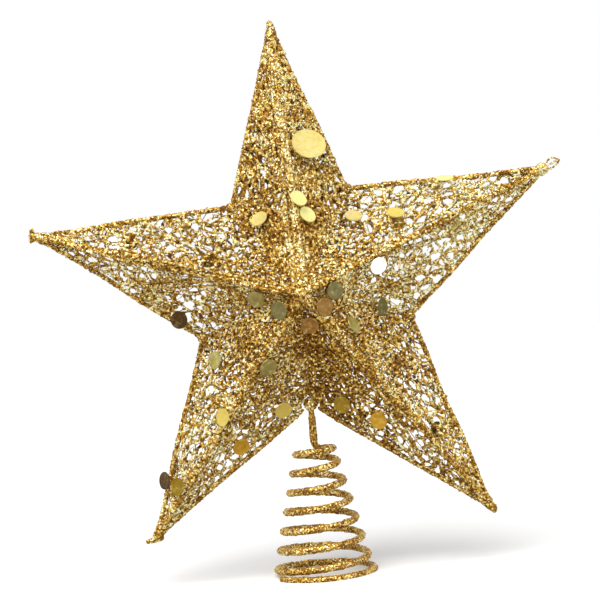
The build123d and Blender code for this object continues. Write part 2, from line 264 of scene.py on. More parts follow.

# Sequins: point, side, shares of the way from apex to tip and to valley, tint (the painted light, shade and
# reflection that the sequin shows), and leans right and up
large_sequin_shares = ((0, 1, 0.402, 0.335, "cream", -0.38, 0.22),)
front_sequin_shares = (
    (0, 1, 0.305, 0.07, "pale", 0, 0.3), (0, 1, 0.195, 0.215, "pale", 0, 0.3),
    (0, 0, 0.11, 0.49, "cream", 0.1, 0.6), (1, 0, 0.10, 0.575, "cream", 0.25, 0.6),
    (1, 0, 0.30, 0.345, "straw", 0.1, 0.6), (1, 1, 0.235, 0.115, "white"),
    (4, 0, 0.085, 0.205, "olive"), (3, 1, 0.035, 0.13, "shade"),
    (1, 1, 0.05, 0.145, "shade"), (2, 0, 0.045, 0.09, "tan"),
    (2, 1, 0.03, 0.19, "amber"), (1, 1, 0.015, 0.65, "fern", 0.7, 0),
    (2, 0, 0.125, 0.21, "khaki", 0.9, 0.5), (3, 0, 0.235, 0.10, "olive"),
    (3, 1, 0.16, 0.60, "khaki", -0.3, 0), (3, 1, 0.485, 0.015, "straw", -0.3, 0),
    (3, 0, 0.17, 0.655, "straw"), (3, 0, 0.435, 0.38, "gold"),
    (3, 1, 0.755, 0.085, "moss"), (3, 1, 0.695, 0.312, "dark", -0.4, 0),
    (2, 1, 0.185, 0.61, "moss", 0, 0.3), (2, 1, 0.38, 0.365, "gold", 0, 0.2),
    (1, 0, 0.478, 0.432, "pale", 0, 1.5), (4, 0, 0.165, 0.765, "dark", 0.15, 0.45),
)
back_sequin_shares = (
    (0, 0, 0.50, 0.20, "gold"), (0, 1, 0.22, 0.30, "pale"), (0, 0, 0.16, 0.40, "olive"),
    (1, 0, 0.34, 0.24, "gold"), (1, 1, 0.55, 0.12, "pale"), (1, 1, 0.14, 0.44, "amber"),
    (2, 0, 0.30, 0.30, "gold"), (2, 0, 0.62, 0.14, "olive"), (2, 1, 0.18, 0.34, "pale"),
    (3, 0, 0.40, 0.26, "gold"), (3, 1, 0.20, 0.20, "olive"), (4, 0, 0.38, 0.50, "pale"),
    (4, 1, 0.30, 0.18, "gold"), (4, 1, 0.58, 0.20, "amber"), (4, 0, 0.12, 0.30, "gold"),
)
SEQUIN_SIDES = 32
SEQUIN_RINGS = 3
sequin_top_share = 0.97  # of a sequin's radius on its upper face
UNSTEADY = 0.06         # how far a sequin's lean strays


def colour(name, text, red, green, blue):
    """Property for a colour, written in 0 to 255 as it shows on a screen."""
    linear = [
        (v / 255 / 12.92) if v <= 10 else ((v / 255 + 0.055) / 1.055) ** 2.4 for v in (red, green, blue)
    ]
    return FloatVectorProperty(
        name=name, description=text, subtype="COLOR", size=3, min=0, max=1, default=linear
    )


def length(name, text, metres):
    """Property for a size in metres."""
    return FloatProperty(name=name, description=text, default=metres, min=0, unit="LENGTH", precision=5)


class TopperSizes(bpy.types.PropertyGroup):
    """Sizes of the glitter, the cords and the sequins."""

    mesh_step: length("Mesh step", "Side of the smallest face on a coated strand", 0.00046)
    grain: length("Grain", "Width of a patch of glitter of one colour", 0.00068)
    chip: length("Chip", "Width of a loose chip of glitter", 0.00095)
    chip_spacing: length("Chip spacing", "Mean distance between loose chips", 0.0012)
    jitter: length("Jitter", "How far the coat's facets are thrown out of line", 0.00011)
    cord: length("Cord", "Radius of a net's cord", 0.00042)
    fibre: length("Fibre", "Radius of a bare fibre", 0.0002)
    sequin: length("Sequin", "Diameter of a sequin", 0.0072)
    large_sequin: length("Large sequin", "Diameter of the largest sequin", 0.014)
    sequin_thickness: length("Sequin thickness", "Thickness of the foil", 0.0003)
    sequin_dish: length("Sequin dish", "How deep a sequin is dished", 0.0002)


class TopperColours(bpy.types.PropertyGroup):
    """Colours of the glitter and of the sequins."""

    # Grain colours: the glitter's own gold, with painted sparkle in the lightest grains and painted dark
    # reflections in the deepest, spread at random.
    deep: colour("Deep", "Darkest grains of glitter", 108, 56, 6)
    brown: colour("Brown", "Dark grains of glitter", 158, 108, 28)
    gold: colour("Gold", "Middling grains of glitter", 208, 166, 74)
    light: colour("Light", "Light grains of glitter", 248, 224, 146)
    spark: colour("Spark", "Lightest grains of glitter", 255, 253, 224)
    # Sequin tints are painted light, shade and reflection: each is the colour that a mirror-like gold disc
    # shows where it lies, lit, in shade, mirroring the lamp, the white and the net.
    sequin_pale: colour("Pale sequin", "Sequins that catch the light", 255, 250, 170)
    sequin_cream: colour("Cream sequin", "Sequins in soft light", 242, 222, 148)
    sequin_straw: colour("Straw sequin", "Sequins in yellow light", 250, 224, 120)
    sequin_gold: colour("Gold sequin", "Sequins in deep yellow", 226, 174, 50)
    sequin_khaki: colour("Khaki sequin", "Sequins that mirror the white and the net", 204, 194, 124)
    sequin_olive: colour("Olive sequin", "Sequins in half shade", 170, 156, 92)
    sequin_shade: colour("Shaded sequin", "Sequins in full shade", 140, 132, 90)
    sequin_moss: colour("Moss sequin", "Sequins turned away from the light", 168, 136, 34)
    sequin_fern: colour("Fern sequin", "Sequin that mirrors the shade", 104, 100, 40)
    # The tan and amber tints too are colours that those sequins show, painted like the rest.
    sequin_tan: colour("Tan sequin", "Sequins that show a worn coat", 182, 138, 80)
    sequin_amber: colour("Amber sequin", "Sequins that show their brown coat", 172, 120, 58)
    sequin_white: colour("White sequin", "Sequin that mirrors the light", 255, 255, 250)
    # The dark tint is painted shade: sequins painted as dark as the unlit back of the foil.
    sequin_dark: colour("Dark sequin", "Sequins seen from behind", 72, 42, 4)


class Socket:
    """Output of a shader node, on which maths is written as Python expressions."""

    def __init__(self, tree, output=None):
        self.tree = tree
        self.output = output

    def node(self, kind, settings=None, inputs=None, output=0):
        """Adds a node of any kind, with its settings first and then the values or links of its sockets."""
        made = self.tree.nodes.new(kind)
        for name, value in (settings or {}).items():
            setattr(made, name, value)
        for key, value in (inputs or {}).items():
            if isinstance(value, Socket):
                self.tree.links.new(value.output, made.inputs[key])
            else:
                made.inputs[key].default_value = value
        return Socket(self.tree, made.outputs[output]) if made.outputs else made

    def maths(self, operation, first, second):
        return self.node("ShaderNodeMath", {"operation": operation}, {0: first, 1: second})

    def mix(self, share, first, second, blend="MIX"):
        """Colour between two colours, or the first one blended with the second."""
        return self.node("ShaderNodeMix", {"data_type": "RGBA", "blend_type": blend}, {
            0: share, 6: first, 7: second,
        }, 2)

    def __add__(self, other):
        return self.maths("ADD", self, other)

    __radd__ = __add__

    def __sub__(self, other):
        return self.maths("SUBTRACT", self, other)

    def __rsub__(self, other):
        return self.maths("SUBTRACT", other, self)

    def __mul__(self, other):
        return self.maths("MULTIPLY", self, other)

    __rmul__ = __mul__

    def __gt__(self, other):
        return self.maths("GREATER_THAN", self, other)

    def ramp(self, stops):
        """Colour from steps, each a place from 0 to 1 where a colour begins."""
        made = self.node("ShaderNodeValToRGB", None, {"Fac": self})
        band = made.output.node.color_ramp
        band.interpolation = "CONSTANT"
        while len(band.elements) < len(stops):
            band.elements.new(1)
        for element, (place, shade) in zip(band.elements, stops):
            element.position = place
            element.color = (*shade, 1)
        return made


def empty_material(name):
    """Material with only its output, and the socket that its nodes are added from."""
    material = bpy.data.materials.new(name)
    material.use_nodes = True
    material.node_tree.nodes.clear()
    return material, Socket(material.node_tree)


def surface(start, shader, target="ShaderNodeOutputMaterial"):
    """Ends a material or world in its shader."""
    start.node(target, None, {"Surface": shader})


def glitter_material(name, colours, shine=STAR_SHINE, glint=STAR_GLINT):
    """Grains of coated film, each with its colour, gloss and share of bare metal; the colours hold the
    glitter's gold and also painted sparkle and painted dark reflections.
    """
    material, start = empty_material(name)
    place = start.node("ShaderNodeUVMap", {"uv_map": GRAIN_MAP})
    cell = start.node("ShaderNodeVectorMath", {"operation": "MULTIPLY"}, {0: place, 1: (CELLS, CELLS, 1)})
    cell = start.node("ShaderNodeVectorMath", {"operation": "FLOOR"}, {0: cell})
    row = start.node("ShaderNodeSeparateXYZ", None, {0: cell}, 1)
    chance = start.node("ShaderNodeTexWhiteNoise", {"noise_dimensions": "2D"}, {"Vector": cell})
    other = start.node("ShaderNodeTexWhiteNoise", {"noise_dimensions": "2D"}, {"Vector": cell}, 1)
    other = start.node("ShaderNodeSeparateColor", None, {"Color": other})
    pale = (row + chance) * (1 / CELLS)
    shades = (colours.deep, colours.brown, colours.gold, colours.light, colours.spark)
    shade = pale.ramp(tuple(zip(GRAIN_STOPS, shades)))
    shade = start.mix(other, shade, OLIVE_CAST, "MULTIPLY")
    shade = start.mix(1 - other, shade, COPPER_CAST, "MULTIPLY")
    shader = start.node("ShaderNodeBsdfPrincipled", None, {
        "Base Color": shade, "Roughness": GRAIN_ROUGHNESS + ROUGHNESS_SWING * other,
        "Metallic": (pale > BARE_FROM) * shine + LEAST_METAL, "Specular Tint": glint,
    })
    surface(start, shader)
    return material


def foil_material(colours):
    """Coloured foil, a little scuffed, with a painted reflection of the net in tints that are neither pale
    nor dark, and emission that paints a highlight on the sequins that mirror a lamp.
    """
    material, start = empty_material("sequin foil")
    tint = start.node("ShaderNodeAttribute", {"attribute_name": "tint"})
    painted_highlight = start.node("ShaderNodeAttribute", {"attribute_name": "tint"}, None, "Alpha")
    place = start.node("ShaderNodeTexCoord", None, None, 3)

    def cloud(scale, detail):
        return start.node("ShaderNodeTexNoise", None, {"Vector": place, "Scale": scale, "Detail": detail})

    scuffs = cloud(SCUFF_SCALE, 3.0)
    wear_and_painted_light = start.mix(cloud(WEAR_SCALE, 0.0) * (1 - painted_highlight), tint, WEAR_CAST, "MULTIPLY")
    # Painted reflection of the net: darker where its cords would be mirrored, lighter at its holes.
    net = cloud(MIRRORED_SCALE, 2.0)
    red = start.node("ShaderNodeSeparateColor", None, {"Color": tint})
    middling = red * (1 - red)
    wear_and_painted_light = start.mix((net - CORDS_FROM) * CORDS_RATE * middling, wear_and_painted_light, MIRRORED_CAST, "MULTIPLY")
    wear_and_painted_light = start.mix((HOLES_BELOW - net) * HOLES_RATE * middling, wear_and_painted_light, (*colours.light, 1))
    speck = start.node("ShaderNodeTexVoronoi", None, {"Vector": place, "Scale": SPECK_SCALE}, 1)
    speck = start.node("ShaderNodeSeparateColor", None, {"Color": speck})
    wear_and_painted_light = start.mix((speck > SPECKS_FROM) * SPECK_STRENGTH * (1 - painted_highlight), wear_and_painted_light, (*colours.brown, 1))
    # Emission here is a painted highlight on the sequins that mirror a lamp.
    shader = start.node("ShaderNodeBsdfPrincipled", None, {
        "Base Color": wear_and_painted_light, "Roughness": FOIL_ROUGHNESS + SCUFF_SWING * scuffs, "Metallic": FOIL_METAL,
        "Specular Tint": FOIL_GLINT, "Emission Color": start.mix(painted_highlight, BLACK, tint),
        "Emission Strength": 1.0,
    })
    surface(start, shader)
    return material


class NodeTree:
    """Geometry node tree whose inputs, nodes and links are added by calls."""

    def __init__(self, name):
        self.tree = bpy.data.node_groups.new(name, "GeometryNodeTree")
        self.tree.interface.new_socket("Geometry", in_out="INPUT", socket_type="NodeSocketGeometry")
        self.tree.interface.new_socket("Geometry", in_out="OUTPUT", socket_type="NodeSocketGeometry")
        self.start = self.tree.nodes.new("NodeGroupInput")

    def input(self, name, kind="Float"):
        """Named input of the tree."""
        self.tree.interface.new_socket(name, in_out="INPUT", socket_type=f"NodeSocket{kind}")
        return self.start.outputs[name]

    def node(self, kind, settings=None, inputs=None, output=0):
        """Adds a node of any kind, with its settings first and then the values or links of its sockets."""
        made = self.tree.nodes.new(kind)
        for name, value in (settings or {}).items():
            setattr(made, name, value)
        for key, value in (inputs or {}).items():
            for source in value if isinstance(value, list) else [value]:
                if isinstance(source, bpy.types.NodeSocket):
                    self.tree.links.new(source, made.inputs[key])
                else:
                    made.inputs[key].default_value = source
        return made.outputs[output]

    def maths(self, operation, first, second):
        return self.node("ShaderNodeMath", {"operation": operation}, {0: first, 1: second})

    def end(self, geometry, material):
        """Makes instances real, sets the material and ends the tree."""
        real = self.node("GeometryNodeRealizeInstances", None, {0: geometry})
        done = self.node("GeometryNodeSetMaterial", None, {"Geometry": real, "Material": material})
        finish = self.tree.nodes.new("NodeGroupOutput")
        self.tree.links.new(done, finish.inputs[0])

    def run(self, obj, values):
        """Runs the tree on an object with the values of its inputs, and leaves the object a plain mesh."""
        modifier = obj.modifiers.new("make", "NODES")
        modifier.node_group = self.tree
        for item in self.tree.interface.items_tree:
            if item.in_out == "INPUT" and item.name in values:
                modifier[item.identifier] = values[item.name]
        graph = bpy.context.evaluated_depsgraph_get()
        mesh = bpy.data.meshes.new_from_object(obj.evaluated_get(graph), depsgraph=graph)
        obj.modifiers.clear()
        guide = obj.data
        obj.data = mesh
        bpy.data.meshes.remove(guide)


def strand_tree():
    """Threads as coated strands: lumpy skins that run together where threads meet, and loose chips."""
    tree = NodeTree("glittered strands")
    step = tree.input("Mesh step")
    grain = tree.input("Grain")
    chip = tree.input("Chip")
    spacing = tree.input("Chip spacing")
    jitter = tree.input("Jitter")
    lumps = tree.input("Lumps")
    finest = tree.input("Finest strand")
    paleness = tree.input("Paleness")
    core = tree.input("Core paleness")
    spread = tree.input("Spread")
    seed = tree.input("Seed", "Int")
    material = tree.input("Material", "Material")
    maths = tree.maths

    def vector(operation, first, second):
        key = "Scale" if operation == "SCALE" else 1
        return tree.node("ShaderNodeVectorMath", {"operation": operation}, {0: first, key: second})

    def chance(low, high, shift):
        return tree.node("FunctionNodeRandomValue", {"data_type": "FLOAT"}, {
            2: low, 3: high, "Seed": maths("ADD", seed, shift),
        }, 1)

    def chances(low, high, shift):
        return tree.node("FunctionNodeRandomValue", {"data_type": "FLOAT_VECTOR"}, {
            0: (low,) * 3, 1: (high,) * 3, "Seed": maths("ADD", seed, shift),
        })

    curve = tree.node("GeometryNodeMeshToCurve", None, {0: tree.start.outputs[0]})
    girth = tree.node("GeometryNodeInputNamedAttribute", {"data_type": "FLOAT"}, {"Name": "girth"})
    thin = tree.node("FunctionNodeCompare", {"data_type": "FLOAT", "operation": "LESS_THAN"}, {
        0: girth, 1: finest,
    })
    fibres = tree.node("GeometryNodeSeparateGeometry", {"domain": "CURVE"}, {0: curve, "Selection": thin})
    ring = tree.node("GeometryNodeCurvePrimitiveCircle", None, {"Resolution": 3, "Radius": 1.0})
    tubes = tree.node("GeometryNodeCurveToMesh", None, {
        "Curve": fibres, "Profile Curve": ring, "Scale": girth,
    })
    curve = tree.node("GeometryNodeResampleCurve", {"mode": "LENGTH"}, {
        "Curve": fibres.node.outputs[1], "Length": step,
    })
    points = tree.node("GeometryNodeCurveToPoints", {"mode": "EVALUATED"}, {0: curve})
    place = tree.node("GeometryNodeInputPosition")
    cloud = tree.node("ShaderNodeTexNoise", None, {"Vector": place, "Scale": LUMP_SCALE, "Detail": 1.0})
    swing = maths("MULTIPLY", maths("SUBTRACT", cloud, 0.5), lumps)
    girth = maths("MULTIPLY", girth, maths("ADD", swing, 1.0))
    volume = tree.node("GeometryNodePointsToVolume", {"resolution_mode": "VOXEL_SIZE"}, {
        "Points": points, "Voxel Size": step, "Radius": girth,
    })
    skin = tree.node("GeometryNodeVolumeToMesh", None, {"Volume": volume, "Threshold": SKIN_THRESHOLD})
    thrown = vector("SCALE", chances(-1.0, 1.0, 1), jitter)
    skin = tree.node("GeometryNodeSetPosition", None, {"Geometry": skin, "Offset": thrown})
    patch = tree.node("ShaderNodeTexVoronoi", None, {
        "Vector": place, "Scale": maths("DIVIDE", 1.0, grain),
    }, 1)
    patch = tree.node("FunctionNodeSeparateColor", None, {0: patch})
    blotch = tree.node("ShaderNodeTexNoise", None, {"Vector": place, "Scale": BLOTCH_SCALE, "Detail": 1.0})
    # Painted shade: the glitter is made darker towards the star's centre, by the amount given for each net;
    # for the nets, the paleness holds painted light and shade too.
    away = tree.node("ShaderNodeVectorMath", {"operation": "DISTANCE"}, {0: place, 1: CENTRE}, 1)
    near = tree.node("ShaderNodeMapRange", None, {0: away, 1: CORE_REACH, 2: 0.0})
    paleness = maths("ADD", paleness, maths("MULTIPLY", near, core))
    blotch = maths("MULTIPLY", maths("SUBTRACT", blotch, 0.5), BLOTCH_DEPTH)
    blotch = maths("ADD", blotch, maths("ADD", paleness, 0.5))

    def mixed(share):
        return maths("ADD", maths("MULTIPLY", maths("SUBTRACT", share, 0.5), spread), blotch)

    marked = tree.node("GeometryNodeStoreNamedAttribute", {"data_type": "FLOAT", "domain": "FACE"}, {
        "Geometry": tree.node("GeometryNodeJoinGeometry", None, {0: [tubes, skin]}), "Name": "grain",
        "Value": mixed(patch),
    })
    density = maths("DIVIDE", 1.0, maths("MULTIPLY", spacing, spacing))
    spots = tree.node("GeometryNodeDistributePointsOnFaces", None, {
        "Mesh": skin, "Density": density, "Seed": seed,
    })
    shape = tree.node("GeometryNodeMeshUVSphere", None, {"Segments": 4, "Rings": 2, "Radius": 0.5})
    shape = tree.node("GeometryNodeTransform", None, {
        "Geometry": shape, "Scale": (1.0, 1.0, chip_thickness_share),
    })
    tilt = tree.node("FunctionNodeEulerToRotation", None, {0: chances(-CHIP_TILT, CHIP_TILT, 2)})
    lying = tree.node("FunctionNodeRotateRotation", {"rotation_space": "LOCAL"}, {
        0: spots.node.outputs["Rotation"], 1: tilt,
    })
    chips = tree.node("GeometryNodeInstanceOnPoints", None, {
        "Points": spots, "Instance": shape, "Rotation": lying,
        "Scale": maths("MULTIPLY", chip, chance(*chip_shares, 3)),
    })
    chips = tree.node("GeometryNodeStoreNamedAttribute", {"data_type": "FLOAT", "domain": "INSTANCE"}, {
        "Geometry": chips, "Name": "chip", "Value": mixed(chance(0.0, 1.0, 4)),
    })
    both = tree.node("GeometryNodeJoinGeometry", None, {0: [chips, marked]})
    tree.end(both, material)
    return tree


def values_of(mesh, name, count):
    """Numbers of a mesh attribute, as an array."""
    found = np.zeros(count, np.float32)
    if name in mesh.attributes:
        mesh.attributes[name].data.foreach_get("value", found)
    return found


def map_grains(mesh):
    """Gives every grain a cell of the colour map: each patch of the skin, and each loose chip."""
    faces = len(mesh.polygons)
    first = np.zeros(faces, np.int32)
    sides = np.zeros(faces, np.int32)
    corners = np.zeros(len(mesh.loops), np.int32)
    mesh.polygons.foreach_get("loop_start", first)
    mesh.polygons.foreach_get("loop_total", sides)
    mesh.loops.foreach_get("vertex_index", corners)
    patch = values_of(mesh, "grain", faces)
    chip = values_of(mesh, "chip", len(mesh.vertices))[corners[first]]
    share = np.where(sides == 3, chip, patch)
    cell = np.clip((share * CELLS * CELLS).astype(np.int32), 0, CELLS * CELLS - 1)
    owner = np.repeat(np.arange(faces), sides)
    turn = (np.arange(len(corners)) - first[owner]) * (math.tau / sides[owner])
    middle = np.stack((cell % CELLS, cell // CELLS), 1)[owner] + 0.5
    spread = np.stack((np.cos(turn), np.sin(turn)), 1) * cell_share
    layer = mesh.uv_layers.new(name=GRAIN_MAP)
    layer.data.foreach_set("uv", ((middle + spread) / CELLS).astype(np.float32).ravel())


def stand_on_floor(mesh):
    """Flattens what would go below the floor."""
    places = np.zeros(len(mesh.vertices) * 3, np.float32)
    mesh.vertices.foreach_get("co", places)
    places[2::3] = np.maximum(places[2::3], 0)
    mesh.vertices.foreach_set("co", places)


def girths_along(line, girth):
    """Girth at each place of a thread, from a list of them or from one for all."""
    return girth if isinstance(girth, list) else [girth] * len(line)


def threads_object(name, threads):
    """Object whose edges run along threads, each a list of places and its girth or girths."""
    places = []
    edges = []
    girths = []
    for line, girth in threads:
        first = len(places)
        places += line
        edges += [(i, i + 1) for i in range(first, len(places) - 1)]
        girths += girths_along(line, girth)
    mesh = bpy.data.meshes.new(name)
    mesh.from_pydata(places, edges, [])
    layer = mesh.attributes.new("girth", "FLOAT", "POINT")
    layer.data.foreach_set("value", girths)
    obj = bpy.data.objects.new(name, mesh)
    bpy.context.scene.collection.objects.link(obj)
    return obj


def coated(
    name, threads, material, node, lumps=COAT_LUMPS, body="star", bend=None,
    fine=1.0, pale=0.0, spread=1.0, core=0.0,
):
    """Piece of glittered strands that stands for a CAD node, and rides on a body, or is left on none when
    bend is given.
    """
    sizes = bpy.context.scene.topper_sizes
    obj = threads_object(name, threads)
    STRANDS.run(obj, {
        "Mesh step": sizes.mesh_step, "Grain": sizes.grain * fine, "Chip": sizes.chip * fine,
        "Chip spacing": sizes.chip_spacing, "Jitter": sizes.jitter * fine, "Lumps": lumps,
        "Finest strand": sizes.fibre * BARE_BELOW, "Paleness": pale, "Core paleness": core, "Spread": spread,
        "Seed": sum(map(ord, name)), "Material": material,
    })
    map_grains(obj.data)
    obj.data.shade_flat()
    stand_on_floor(obj.data)
    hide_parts(node)
    if bend:
        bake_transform(obj)
    else:
        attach(obj, body)
    return obj


def on_star(degrees, reach):
    """Place in the star plane, at an angle clockwise from straight up."""
    angle = math.radians(degrees)
    return CENTRE + Vector((math.sin(angle), 0, math.cos(angle))) * reach


STEP = 360 / POINTS
TIPS = [on_star(STEP * i + tip_leans[i], TIP_REACH * tip_reach_shares[i]) for i in range(POINTS)]
VALLEYS = [
    on_star(STEP * (i + 1 / 2) + valley_leans[i], VALLEY_REACH * valley_reach_shares[i])
    for i in range(POINTS)
]


def outward(point):
    """Direction from the star's centre to a place in its plane."""
    return (point - CENTRE).normalized()


def gathered(tip):
    """Place where a point's strands are gathered: near its tip, or short of it where loops stand beyond."""
    share = looped_share if TIP_NAMES[tip] in TIP_LOOPS else gathered_share
    return TIPS[tip] - outward(TIPS[tip]) * CAP_LENGTH * share


def from_valley(valley, place):
    """Where a wire that runs from a valley to a place starts, clear of the knot on the stem."""
    room = KNOT_ROOM if valley == STEM_VALLEY else 0
    return VALLEYS[valley] + (place - VALLEYS[valley]).normalized() * room


def clear_of_knot(threads):
    """Threads bent round the room that the knot on the stem needs, less those that run through the knot."""
    middle = VALLEYS[STEM_VALLEY]

    def pushed(place):
        return middle + (place - middle) * max(NET_ROOM / (place - middle).length, 1)

    kept = []
    for line, girth in threads:
        girths = girths_along(line, girth)
        places, sizes = line[:1], girths[:1]
        for i in range(1, len(line)):
            for k in range(1, ROOM_STEPS + 1):
                places.append(line[i - 1].lerp(line[i], k / ROOM_STEPS))
                sizes.append(girths[i - 1] + (girths[i] - girths[i - 1]) * k / ROOM_STEPS)
        nearest = min((place - middle).length for place in places)
        if nearest > NET_ROOM:
            kept.append((line, girth))
        elif nearest > KNOT_RADIUS:
            kept.append(([pushed(place) for place in places], sizes))
    return kept


def thinned(line, girth, valley):
    """Girths of a wire that starts at a valley, thinner beside the knot on the stem."""
    if valley != STEM_VALLEY:
        return [girth] * len(line)
    grown = [min((place - line[0]).length / THINNED, 1) for place in line]
    return [girth * (thinned_share + (1 - thinned_share) * share) for share in grown]


def wavy(start, end, stray, draw, step=STRAND_STEP, normal=None, lift=None):
    """Places along a thread from start to end, straying smoothly, by lift along a normal where given."""
    line = end - start
    count = max(3, round(line.length / step))
    upwards = normal or line.orthogonal().normalized()
    sideways = line.cross(upwards).normalized()
    reaches = (stray, stray if lift is None else lift) * 2
    waves = [
        (direction, draw.uniform(-reach, reach), draw.uniform(*WAVES), draw.uniform(0, math.tau))
        for direction, reach in zip((sideways, upwards) * 2, reaches)
    ]
    places = []
    for i in range(count + 1):
        share = i / count
        place = start + line * share
        for direction, reach, turns, phase in waves:
            swing = math.sin(turns * math.pi * share + phase)
            place = place + direction * reach * math.sin(math.pi * share) * swing
        places.append(place)
    return places


def scatter(corners, draw, spacing):
    """Places strewn over a triangle, each as far from the rest as spacing asks there."""
    kept = np.empty((0, 2))
    for _ in range(SCATTER_TRIES):
        first, second = draw.random(), draw.random()
        if first + second > 1:
            first, second = 1 - first, 1 - second
        place = corners[0] + (corners[1] - corners[0]) * first + (corners[2] - corners[0]) * second
        if not len(kept) or ((kept - place) ** 2).sum(1).min() > spacing(place) ** 2:
            kept = np.vstack((kept, place))
    return kept


def mirrored(places, start, end):
    """Places reflected in the line through two corners."""
    along = (end - start) / np.linalg.norm(end - start)
    across = np.array((-along[1], along[0]))
    return places - 2 * ((places - start) @ across)[:, None] * across


def web(corners, seeds):
    """Borders between the cells of seeds in a triangle, as pairs of ends, without those along its sides."""
    sides = ((0, 1), (1, 2), (2, 0))
    spots = np.vstack([seeds] + [mirrored(seeds, corners[a], corners[b]) for a, b in sides])
    found = delaunay_2d_cdt([Vector(spot) for spot in spots], [], [], 0, SAME_PLACE)
    places, triangles, origins = found[0], found[2], found[3]
    middles = {}
    for triangle in triangles:
        a, b, c = (places[i] for i in triangle)
        turn = 2 * ((b - a).x * (c - a).y - (b - a).y * (c - a).x)
        left, right = (b - a).length_squared, (c - a).length_squared
        middle = a + Vector((
            (c - a).y * left - (b - a).y * right, (b - a).x * right - (c - a).x * left
        )) / turn
        for i, j in zip(triangle, (*triangle[1:], triangle[0])):
            middles.setdefault((min(i, j), max(i, j)), []).append(middle)
    return [
        ends for pair, ends in middles.items()
        if len(ends) == 2 and all(min(origins[i]) < len(seeds) for i in pair)
    ]


def net_threads(tip, valley, apex, draw, cord, fibre):
    """Cords of one facet: a web of rounded cells, close at the star's centre and open in the points."""
    widest = CLOSE_CELL * POINT_CELLS[tip] * (1 if apex.y < 0 else BACK_CELLS)
    ridge = gathered(tip) - apex
    corner = VALLEYS[valley] - apex
    along = ridge.normalized()
    normal = along.cross(corner).normalized()
    across = normal.cross(along)
    corners = np.array((
        (0, 0), (ridge.length / CELL_STRETCH, 0), (corner.dot(along) / CELL_STRETCH, corner.dot(across)),
    ))

    def spacing(place):
        centre = np.linalg.norm(place * (CELL_STRETCH, 1))
        opened = min(max((centre - CORES[tip]) / OPENING, 0), 1)
        if valley == STEM_VALLEY:
            beside = np.linalg.norm((place - corners[2]) * (CELL_STRETCH, 1))
            opened = min(opened, max((beside - KNOT_CORE) / KNOT_OPENING, 0))
        closed = min(max((place[0] * CELL_STRETCH - CLOSED_FROM[tip]) / CLOSING, 0), 1)
        off_ridge = min(place[1] / RIDGE_SIDE, 1)
        uneven = 1 + UNEVEN * noise.noise(Vector((*place / PATCH, valley + POINTS * apex.y)))
        width = CLOSE_CELL + (widest * uneven - CLOSE_CELL) * opened * (1 - closed_share * closed)
        return width * (ridge_cell_share + (1 - ridge_cell_share) * off_ridge)

    def on_facet(place):
        flat = apex + along * place.x * CELL_STRETCH + across * place.y
        return flat + normal * noise.noise(flat * RIPPLES) * RIPPLE

    threads = []
    for start, end in web(corners, scatter(corners, draw, spacing)):
        if draw.random() < missing_share:
            continue
        bow = Vector((start.y - end.y, end.x - start.x)) * draw.uniform(-BOW, BOW)
        girth = cord * draw.uniform(*CORD_GIRTHS) * POINT_CORDS[tip]
        line = []
        for share in cord_shares:
            line.append(on_facet(start.lerp(end, share) + bow * 4 * share * (1 - share)))
        threads.append((line, [girth * swell for swell in cord_swells]))
    for strung, girth in ((STRUNG_CORDS, cord), (STRUNG_FIBRES, fibre)):
        for _ in range(strung.count):
            share = draw.uniform(strung.first, last_strung_share)
            start = apex + ridge * share
            slant = draw.uniform(-strung.slant, strung.slant)
            share = min(max(share + slant, edge_shares[0]), edge_shares[1])
            end = apex + ridge * share + corner * (1 - share)
            line = wavy(start, end, strung.stray, draw, strung.step, normal, strung.lift)
            threads.append((line, girth * draw.uniform(*strung.girths)))
    return clear_of_knot(threads)


def ridge_threads(tip, apex, draw):
    """Wire of a ridge, with cords that were wound along it."""
    far = gathered(tip)
    threads = [(wavy(apex, far, RIDGE_STRAY, draw), RIDGE_WIRE / 2 - COAT)]
    side = (far - apex).cross(Vector((0, 1, 0))).normalized()
    for _ in range(RIDGE_CORDS[tip]):
        shift = side * draw.uniform(-RIDGE_SPREADS[tip], RIDGE_SPREADS[tip])
        line = wavy(apex + shift, far + shift * drawn_in_share, RIDGE_CORD_STRAY, draw)
        threads.append((line, RIDGE_WIRE / 4))
    return threads


def eased(turn, first, last):
    """Turns gained by a rate that grows from 0 to 1 between two turns."""
    if turn <= first:
        return 0
    if turn >= last:
        return turn - (first + last) / 2
    return (turn - first) ** 2 / (last - first) / 2


def on_neck_bend(inwards, angle, height):
    """Place on the bend that turns the wire from level to upright."""
    return Vector((0, 0, height)) - inwards * NECK_BEND * (1 - math.sin(angle)) + Vector(
        (0, 0, NECK_BEND * (1 - math.cos(angle)))
    )


